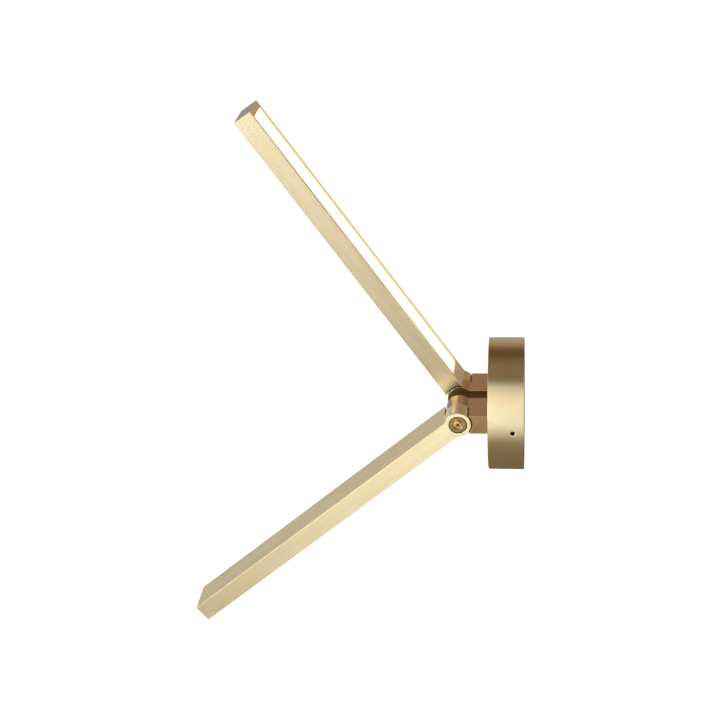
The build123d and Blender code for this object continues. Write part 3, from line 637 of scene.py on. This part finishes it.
def finish_tree(tree, given, result, shape, chosen=True):
    """Ends a tree: real geometry, in the given finish."""
    real = add_node(tree, "GeometryNodeRealizeInstances", None, {"Geometry": shape})
    painted = add_node(tree, "GeometryNodeSetMaterial", None,
                       {"Geometry": real.outputs[0], "Selection": chosen, "Material": given.outputs["Finish"]})
    tree.links.new(painted.outputs[0], result.inputs[0])
    return tree


def template_copies(tree, given, points, rotation=(0, 0, 0)):
    """Puts a tree's template on points."""
    thing = add_node(tree, "GeometryNodeObjectInfo", {"transform_space": "ORIGINAL"},
                     {"Object": given.outputs["Template"], "As Instance": True})
    placed = add_node(tree, "GeometryNodeInstanceOnPoints", None,
                      {"Points": points, "Instance": thing.outputs["Geometry"], "Rotation": rotation})
    return placed.outputs[0]


print("tree helpers ready")

# %% [markdown]
# The canopy is spun or turned, so its shape follows one rule: an outline carried round an axis. That is a
# small geometry tree: a grid whose columns are angles and whose rows are points of the outline. The same
# tree makes the pivot shafts and the screws. Its inputs are the number of columns and the finish.

# %% Turned shapes
def turning_tree():
    """Carries an outline (vertices in order, radius on X, height on Z) round the Z axis."""
    tree, given, result = new_tree("turned_shape", Columns="Int", Finish="Material")
    size = add_node(tree, "GeometryNodeAttributeDomainSize", None, {0: given.outputs["Geometry"]})
    rows = size.outputs["Point Count"]
    seam = add_node(tree, "ShaderNodeMath", {"operation": "ADD"}, {0: given.outputs["Columns"], 1: 1})
    grid = add_node(tree, "GeometryNodeMeshGrid", None,
                    {"Size X": 1.0, "Size Y": 1.0, "Vertices X": seam.outputs[0], "Vertices Y": rows})
    index = add_node(tree, "GeometryNodeInputIndex")
    row = add_node(tree, "ShaderNodeMath", {"operation": "MODULO"}, {0: index.outputs[0], 1: rows})
    column = add_node(tree, "ShaderNodeMath", {"operation": "DIVIDE"}, {0: index.outputs[0], 1: rows})
    whole = add_node(tree, "ShaderNodeMath", {"operation": "FLOOR"}, {0: column.outputs[0]})
    share = add_node(tree, "ShaderNodeMath", {"operation": "DIVIDE"},
                     {0: whole.outputs[0], 1: given.outputs["Columns"]})
    angle = add_node(tree, "ShaderNodeMath", {"operation": "MULTIPLY"}, {0: share.outputs[0], 1: math.tau})
    spot = add_node(tree, "GeometryNodeInputPosition")
    point = add_node(tree, "GeometryNodeSampleIndex", {"data_type": "FLOAT_VECTOR", "domain": "POINT"},
                     {"Geometry": given.outputs["Geometry"], "Value": spot.outputs[0], "Index": row.outputs[0]})
    turned = add_node(tree, "ShaderNodeVectorRotate", {"rotation_type": "Z_AXIS"},
                      {"Vector": point.outputs[0], "Angle": angle.outputs[0]})
    shaped = add_node(tree, "GeometryNodeSetPosition", None,
                      {"Geometry": grid.outputs["Mesh"], "Position": turned.outputs[0]})
    joined = add_node(tree, "GeometryNodeMergeByDistance", None,
                      {"Geometry": shaped.outputs[0], "Distance": 0.001 * MM})
    return finish_tree(tree, given, result, joined.outputs[0])


def rounded(points, steps=5):
    """An outline in millimetres with its marked corners rounded: a corner is (radius, height, round)."""
    outline = []
    for i, (x, z, r) in enumerate(points):
        here = Vector((x, z))
        if not r:
            outline.append(here)
            continue
        before = (Vector(points[i - 1][:2]) - here).normalized()
        after = (Vector(points[(i + 1) % len(points)][:2]) - here).normalized()
        half = before.angle(after) / 2
        reach = r / math.tan(half)
        centre = here + (before + after).normalized() * (r / math.sin(half))
        start = here + before * reach - centre
        sweep = math.pi - 2 * half
        turn = 1 if before.x * after.y - before.y * after.x < 0 else -1
        for step in range(steps + 1):
            outline.append(centre + Matrix.Rotation(turn * sweep * step / steps, 2) @ start)
    return outline


def turned_piece(name, corners, columns, material):
    """A turned solid about the Z axis, from the corners of its outline, with its faces outwards."""
    outline = rounded(corners)
    points = [(p.x * MM, 0.0, p.y * MM) for p in outline + outline[:1]]
    mesh = bpy.data.meshes.new(name + "_outline")
    mesh.from_pydata(points, [(i, i + 1) for i in range(len(points) - 1)], [])
    piece = grow(turned_shape, name, mesh, {"Columns": columns, "Finish": material})
    shape = join_points(opened(piece.data))
    bmesh.ops.recalc_face_normals(shape, faces=shape.faces)
    volume = shape.calc_volume(signed=True)
    if volume < 0:
        bmesh.ops.reverse_faces(shape, faces=shape.faces)
    closed(shape, piece.data)
    print(name, "volume, cubic mm:", round(abs(volume) / MM ** 3, 1))
    return piece


turned_shape = turning_tree()
print("inputs:", [item.name for item in turned_shape.interface.items_tree if item.in_out == "INPUT"])

# %% [markdown]
# A hole is cut with a boolean, from a plain round cutter. The two set screw holes in the canopy's side have a
# shallow countersink, which gets a painted highlight, nearly white.
# The blocks hide the front's holes, but the parts that fill them are real, so they're cut as well.

# %% Canopy
CANOPY_RADIUS = 60.0
CANOPY_DEPTH = 32.0
CANOPY_WALL = 1.8
CANOPY_FRONT = 2.0
FRONT_ROUND = 0.8
BACK_ROUND = 0.4
INNER_ROUND = 0.6
SET_SCREW_HEIGHT = 10.0
SET_SCREW_HOLE = 2.2
FLARE_WIDTH = 0.7
FLARE_DEPTH = 0.35
BLOCK_SCREW_PLACES = (13.95, 37.95)
BLOCK_SCREW_HOLE = 2.25
GROMMET_PLACE = 23.9
GROMMET_HOLE = 3.35


def round_cutter(shape, start, along, rings, columns=48):
    """Adds a closed round cutter to a bmesh: each ring is (distance along, radius) in mm."""
    place = Matrix.Translation(Vector(start) * MM) @ Vector(along).to_track_quat("Z", "Y").to_matrix().to_4x4()
    loops = []
    for distance, radius in rings:
        angles = [math.tau * i / columns for i in range(columns)]
        points = [Vector((radius * math.cos(a), radius * math.sin(a), distance)) * MM for a in angles]
        loops.append([shape.verts.new(place @ point) for point in points])
    for low, high in zip(loops, loops[1:]):
        for i in range(columns):
            j = (i + 1) % columns
            shape.faces.new((low[i], low[j], high[j], high[i]))
    shape.faces.new(loops[0][::-1])
    shape.faces.new(loops[-1])


def carve(piece, cutter_shape):
    """Cuts a bmesh of cutters out of a piece and leaves a plain mesh."""
    cutter = new_piece(piece.name + "_cutter", closed(cutter_shape, piece.name + "_cutter"))
    cut = piece.modifiers.new("holes", "BOOLEAN")
    cut.operation = "DIFFERENCE"
    cut.solver = "EXACT"
    cut.object = cutter
    plain_mesh(piece)
    bpy.data.objects.remove(cutter)
    return piece


# Extra rows, in mm from the wall, keep the faces round the set screw holes small.
ROWS = (3, 6.5, 13.5, 16, 24)
inner_radius = CANOPY_RADIUS - CANOPY_WALL
inner_front = CANOPY_FRONT - CANOPY_DEPTH
canopy_corners = ([(0, -CANOPY_DEPTH, 0), (20, -CANOPY_DEPTH, 0), (50, -CANOPY_DEPTH, 0),
                   (CANOPY_RADIUS, -CANOPY_DEPTH, FRONT_ROUND)] + [(CANOPY_RADIUS, -z, 0) for z in ROWS[::-1]]
                  + [(CANOPY_RADIUS, 0, BACK_ROUND), (inner_radius, 0, 0)] + [(inner_radius, -z, 0) for z in ROWS]
                  + [(inner_radius, inner_front, INNER_ROUND), (0, inner_front, 0)])
canopy = turned_piece("canopy_shell", canopy_corners, 192, canopy_finish)
canopy.data.transform(Matrix.Rotation(-math.pi / 2, 4, "X"))
holes = bmesh.new()
front_holes = [(x, BLOCK_SCREW_HOLE) for x in BLOCK_SCREW_PLACES] + [(GROMMET_PLACE, GROMMET_HOLE)]
for side in (-1, 1):
    round_cutter(holes, (side * CANOPY_RADIUS, -SET_SCREW_HEIGHT, 0), (side, 0, 0),
                 [(-6, SET_SCREW_HOLE), (-FLARE_DEPTH, SET_SCREW_HOLE),
                  (FLARE_DEPTH, SET_SCREW_HOLE + 2 * FLARE_WIDTH)])
    for x, radius in front_holes:
        round_cutter(holes, (side * x, inner_front - CANOPY_FRONT / 2, 0), (0, 1, 0), [(-3, radius), (3, radius)])
carve(canopy, holes)
soften(canopy)
settle(canopy, "canopy", canopy_finish, "anodised_aluminium", "canopy_cover")


def is_flare(face):
    """The countersink of a set screw hole."""
    from_hole = Vector((face.center.y + SET_SCREW_HEIGHT * MM, face.center.z)).length / MM
    outside = abs(face.center.x) > (CANOPY_RADIUS - 1) * MM
    return from_hole < SET_SCREW_HOLE + FLARE_WIDTH and outside and 0.3 < abs(face.normal.x) < 0.95


# The countersink's faces get a painted highlight.
print("canopy faces:", len(canopy.data.polygons), "of them flare:", paint(canopy, highlight_edge, is_flare))

# %% [markdown]
# The pivot shaft is a steel pin plated in antique bronze. Its flat flange is the round disc in the hinge's
# side, and a pocket in it takes the screw's head. The pocket was turned after the plating, so its bottom and
# wall are bare and glint. The second shaft is the same shape, turned about Y to face the other way.

# %% Pivot shafts
SHAFT_END = 16.8
FLANGE_IN = 41.5
FLANGE_OUT = 44.1
SHAFT_RADIUS = 5.0
FLANGE_RADIUS = 7.8
POCKET_RADIUS = 4.85
HEAD_SEAT = 42.3
SHAFT_BORE = 2.25
shaft_corners = [(SHAFT_BORE, SHAFT_END, 0), (SHAFT_RADIUS, SHAFT_END, 0.3), (SHAFT_RADIUS, FLANGE_IN, 0),
                 (FLANGE_RADIUS, FLANGE_IN, 0.15), (FLANGE_RADIUS, FLANGE_OUT, 0.45),
                 (POCKET_RADIUS, FLANGE_OUT, 0.25), (POCKET_RADIUS, HEAD_SEAT, 0.2), (SHAFT_BORE, HEAD_SEAT, 0)]


def is_pocket(face):
    """The pocket's bottom and wall."""
    spot = bar_spot(face, 0.0)
    return spot.away < POCKET_RADIUS and HEAD_SEAT - 0.3 < spot.across < FLANGE_OUT - 0.3


def is_flange_rim(face):
    """The flange's outer rim, in the gap."""
    return bar_spot(face, 0.0).away > FLANGE_RADIUS - 0.3


shafts = turned_piece("pivot_shafts_turned", shaft_corners, 96, shaft_finish)
both = bmesh.new()
for turn in (math.pi / 2, -math.pi / 2):
    one = shafts.data.copy()
    one.transform(Matrix.Translation(HINGE_LINE) @ Matrix.Rotation(turn, 4, "Y"))
    both.from_mesh(one)
closed(both, shafts.data)
soften(shafts)
settle(shafts, "canopy", shaft_finish, "shaft_bronze", "pivot_shafts")
# The flange's rim gets painted shade, as the gap walls do.
print("pocket and rim faces:", paint(shafts, pocket_finish, is_pocket), paint(shafts, relief_shade, is_flange_rim))

# %% [markdown]
# All the cross-head screws are one template in different sizes: a head with a rounded rim, a shank, and a
# cross cut by one tapered plus shape. The cross's faces are marked, so that they can keep a painted shade later.

# %% Screw template
# Thread sizes: radius, head radius, head height and rim, in mm.
M4 = (2.0, 3.65, 2.0, 0.8)
M25 = (1.25, 2.2, 1.4, 0.5)
# The cross, as shares of the head's radius and height.
CROSS_LENGTH, CROSS_WIDTH, CROSS_DEPTH = 1.1, 0.28, 0.6


def cross_cutter(head_radius, top):
    """A plus-shaped cutter that narrows downwards, as the tip of a driver does."""
    length, width, depth = head_radius * CROSS_LENGTH, head_radius * CROSS_WIDTH, top * CROSS_DEPTH
    shape = bmesh.new()
    loops = []
    for height, share in ((top - depth, 0.6), (top + depth, 1.4)):
        corners = []
        for quarter in range(4):
            turn = Matrix.Rotation(quarter * math.pi / 2, 3, "Z")
            for x, y in ((width / 2, width / 2), (length / 2, width / 2), (length / 2, -width / 2)):
                corners.append(turn @ (Vector((x * share, y * share, height)) * MM))
        loops.append([shape.verts.new(corner) for corner in sorted(corners, key=lambda c: math.atan2(c.y, c.x))])
    low, high = loops
    for i in range(12):
        j = (i + 1) % 12
        shape.faces.new((low[i], low[j], high[j], high[i]))
    shape.faces.new(low[::-1])
    shape.faces.new(high)
    return shape


def screw_template(name, size, length, material):
    """A pan-head screw of a thread size, with its seat at the origin and its head upwards."""
    radius, head_radius, head_height, rim = size
    corners = [(0, -length, 0), (radius, -length, 0.3), (radius, 0, 0), (head_radius, 0, 0.15),
               (head_radius, head_height, rim), (0, head_height, 0)]
    screw = turned_piece(name, corners, 48, material)
    soften(carve(screw, cross_cutter(head_radius, head_height)))
    # The cross's faces get painted shade.
    screw.data.materials.append(recess_shadow)
    screw.data.attributes.new("recess", "BOOLEAN", "FACE")
    for face in screw.data.polygons:
        height = face.center.z / MM
        inside = head_height * 0.3 < height < head_height - 0.02 and face.center.xy.length < head_radius * 0.75 * MM
        screw.data.attributes["recess"].data[face.index].value = inside
        if inside:
            face.material_index = 1
    return screw


print("cross of an M4 head, mm:", round(M4[1] * CROSS_LENGTH, 1), "by", round(M4[1] * CROSS_WIDTH, 1))

# %% [markdown]
# A geometry tree puts the template on points. Each point says which way the screw faces and how far it is
# turned, because a fitter leaves every cross at a different angle.

# %% Fitted screws
def scatter_tree():
    """Puts a template on every point, facing and turned as the point says."""
    tree, given, result = new_tree("fitted_screws", Template="Object", Finish="Material")
    facing = add_node(tree, "GeometryNodeInputNamedAttribute", {"data_type": "FLOAT_VECTOR"}, {"Name": "facing"})
    turn = add_node(tree, "GeometryNodeInputNamedAttribute", {"data_type": "FLOAT"}, {"Name": "turn"})
    aim = add_node(tree, "FunctionNodeAlignRotationToVector", {"axis": "Z"}, {"Vector": facing.outputs[0]})
    spin = add_node(tree, "FunctionNodeAxisAngleToRotation", None,
                    {"Axis": (0, 0, 1), "Angle": turn.outputs[0]})
    pose = add_node(tree, "FunctionNodeRotateRotation", {"rotation_space": "LOCAL"},
                    {0: aim.outputs[0], 1: spin.outputs[0]})
    placed = template_copies(tree, given, given.outputs["Geometry"], pose.outputs[0])
    recess = add_node(tree, "GeometryNodeInputNamedAttribute", {"data_type": "BOOLEAN"}, {"Name": "recess"})
    plated = add_node(tree, "FunctionNodeBooleanMath", {"operation": "NOT"}, {0: recess.outputs[0]})
    return finish_tree(tree, given, result, placed, plated.outputs[0])


fitted_screws = scatter_tree()


def fit_screws(name, template, places, material):
    """places are (point in mm, facing, turn in degrees)."""
    mesh = bpy.data.meshes.new(name)
    mesh.from_pydata([Vector(point) * MM for point, facing, turn in places], [], [])
    mesh.attributes.new("facing", "FLOAT_VECTOR", "POINT")
    mesh.attributes.new("turn", "FLOAT", "POINT")
    for i, (point, facing, turn) in enumerate(places):
        mesh.attributes["facing"].data[i].vector = facing
        mesh.attributes["turn"].data[i].value = math.radians(turn)
    return grow(fitted_screws, name, mesh, {"Template": template, "Finish": material})


pivot_places = [((side * HEAD_SEAT, HINGE_Y, 0), (side, 0, 0), turn) for side, turn in ((1, 48.0), (-1, 20.0))]
block_places = [((side * x, inner_front, 0), (0, 1, 0), turn)
                for side, turns in ((-1, (10, 64)), (1, (33, 81))) for x, turn in zip(BLOCK_SCREW_PLACES, turns)]
ground_places = [((24.0, -2.3, 0), (0, -1, 0), 25.0)]
for name, length, places, material, slot, node in (
        ("pivot_screws_fitted", 31.9, pivot_places, gold_zinc, "screw_gold_zinc", "pivot_screws"),
        ("block_screws_fitted", 10.0, block_places, clear_zinc, "zinc_steel", "block_screws"),
        ("ground_screw_fitted", 2.3, ground_places, green_paint, "green_steel", "ground_screw")):
    template = screw_template(name + "_template", M4, length, material)
    settle(fit_screws(name, template, places, material), "canopy", material, slot, node)
    bpy.data.objects.remove(template)
print("M4 screws:", len(pivot_places) + len(block_places) + len(ground_places))

# %% [markdown]
# Behind each lens lies a metal-cored board with a row of lamps, eight millimetres apart, held by five small
# screws. The row follows a plain rule, so a geometry tree makes it: a line of points with a count and a
# pitch, a small bevelled package on each, and a round yellow window on each package.

# %% Lamp rows
BOARD_TOP = 3.0
LED_PITCH = 8.0
LED_COUNT = 36
LED_FIRST = -30.55
BOARD_SCREWS = 5
BOARD_START = -25.7
BOARD_END = -315.4
SCREW_SIDE = 8.0
PACKAGE_SIZE = (3.5, 2.8, 0.8)
PACKAGE_ROUND = 0.1
WINDOW_RINGS = [(-0.83, 1.1), (-0.75, 1.1)]


def row_tree():
    """Repeats a template along -Y with a pitch."""
    tree, given, result = new_tree("lamp_row", Template="Object", Count="Int", Pitch="Float", Start="Vector",
                                   Finish="Material")
    step = add_node(tree, "ShaderNodeMath", {"operation": "MULTIPLY"}, {0: given.outputs["Pitch"], 1: -1.0})
    offset = add_node(tree, "ShaderNodeCombineXYZ", None, {"Y": step.outputs[0]})
    line = add_node(tree, "GeometryNodeMeshLine", {"mode": "OFFSET"},
                    {"Count": given.outputs["Count"], "Start Location": given.outputs["Start"],
                     "Offset": offset.outputs[0]})
    return finish_tree(tree, given, result, template_copies(tree, given, line.outputs[0]))


lamp_row = row_tree()
# The package hangs below the board's face, and its window shows on its lower side.
block = bmesh.new()
bmesh.ops.create_cube(block, size=1.0)
for vert in block.verts:
    vert.co.z -= 0.5
    vert.co = Vector([part * size for part, size in zip(vert.co, PACKAGE_SIZE)]) * MM
package = soften(new_piece("package_template", closed(block, "package_template")), PACKAGE_ROUND, 1)
disc = bmesh.new()
round_cutter(disc, (0, 0, 0), (0, 0, 1), WINDOW_RINGS, columns=16)
window = soften(new_piece("window_template", closed(disc, "window_template")))
board_screw = screw_template("board_screw_template", M25, 4.4, clear_zinc)
screw_step = (BOARD_START - BOARD_END) / BOARD_SCREWS
for side, over in (("lower", 0.0), ("upper", math.pi)):
    body = side + "_arm"
    # Carries a row from the straight arm's own frame to where the arm rests. The upper arm is turned over.
    place = (Matrix.Translation(HINGE_LINE) @ Matrix.Rotation(REST_ANGLES[side], 4, "X")
             @ Matrix.Rotation(over, 4, "Y"))
    row = {"Count": LED_COUNT, "Pitch": LED_PITCH * MM, "Start": Vector((MIDDLE_X, LED_FIRST, BOARD_TOP)) * MM}
    start = bpy.data.meshes.new("row_start")
    packages = grow(lamp_row, side + "_lamp_packages", start, {**row, "Template": package, "Finish": led_body})
    windows = grow(lamp_row, side + "_lamp_windows", start, {**row, "Template": window, "Finish": phosphor})
    for piece in (packages, windows):
        piece.data.transform(place)
    settle(packages, body, led_body, "led_phosphor", side + "_leds")
    settle(windows, body, phosphor, "led_phosphor")
    places = [((MIDDLE_X + SCREW_SIDE, BOARD_START - screw_step * (n + 0.5), BOARD_TOP), (0, 0, -1), 37.0 * n)
              for n in range(BOARD_SCREWS)]
    screws = fit_screws(side + "_board_screws_fitted", board_screw, places, clear_zinc)
    screws.data.transform(place)
    settle(screws, body, clear_zinc, "zinc_steel", side + "_board_screws")
for template in (package, window, board_screw):
    bpy.data.objects.remove(template)
print("lamps:", 2 * LED_COUNT, "board screws:", 2 * BOARD_SCREWS)
